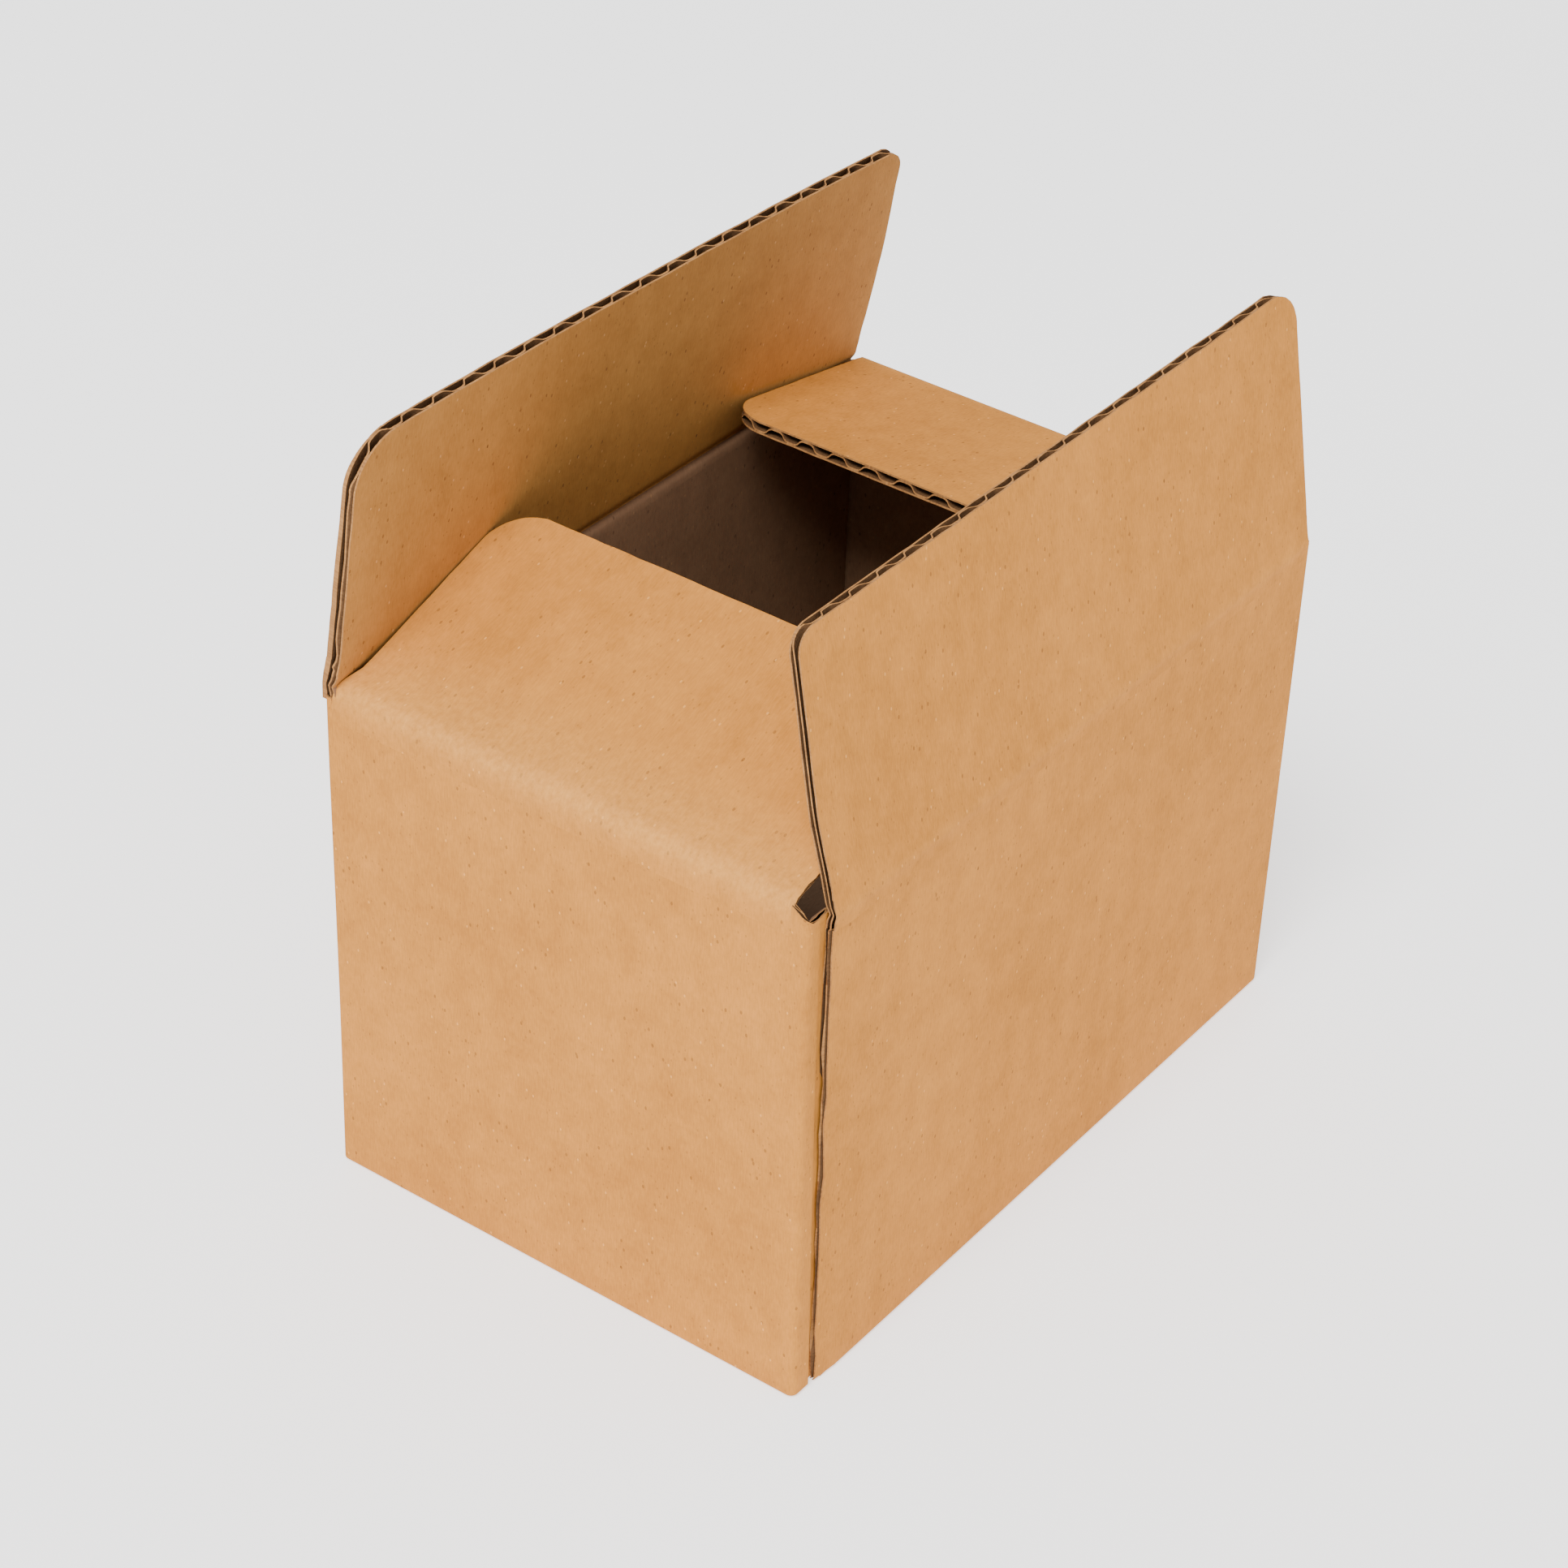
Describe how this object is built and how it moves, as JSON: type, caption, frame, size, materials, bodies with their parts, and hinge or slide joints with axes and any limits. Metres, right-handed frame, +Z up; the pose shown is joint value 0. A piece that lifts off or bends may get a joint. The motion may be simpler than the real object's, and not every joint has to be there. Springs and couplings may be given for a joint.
{
  "type": "shipping box",
  "caption": "Rectangular corrugated cardboard shipping box with a closed base, a lapped glue joint at one corner and hinged top flaps folded open.",
  "frame": {"origin": "centre of the base on the surface it stands on", "axes": "+X along the long sides towards the rear end, +Y across the box towards the left side, +Z up"},
  "size_m": [0.1576, 0.1064, 0.1598],
  "materials": {
    "kraft_board": "matt, uncoated"
  },
  "bodies": {
    "carton": {"carton": "kraft_board"},
    "flap_left": {"flap_left": "kraft_board"},
    "flap_right": {"flap_right": "kraft_board"},
    "flap_front": {"flap_front": "kraft_board"},
    "flap_rear": {"flap_rear": "kraft_board"}
  },
  "joints": [
    {"name": "left_fold", "type": "hinge", "parent": "carton", "child": "flap_left", "pos_m": [0, 0.0532, 0.1076], "axis": [-1, 0, 0], "range_deg": [0, 184]},
    {"name": "right_fold", "type": "hinge", "parent": "carton", "child": "flap_right", "pos_m": [0, -0.0532, 0.1044], "axis": [1, 0, 0], "range_deg": [0, 185]},
    {"name": "front_fold", "type": "hinge", "parent": "carton", "child": "flap_front", "pos_m": [-0.0764, 0, 0.1056], "axis": [0, 1, 0], "range_deg": [0, 22]},
    {"name": "rear_fold", "type": "hinge", "parent": "carton", "child": "flap_rear", "pos_m": [0.0764, 0, 0.1056], "axis": [0, -1, 0], "range_deg": [0, 12]}
  ]
}
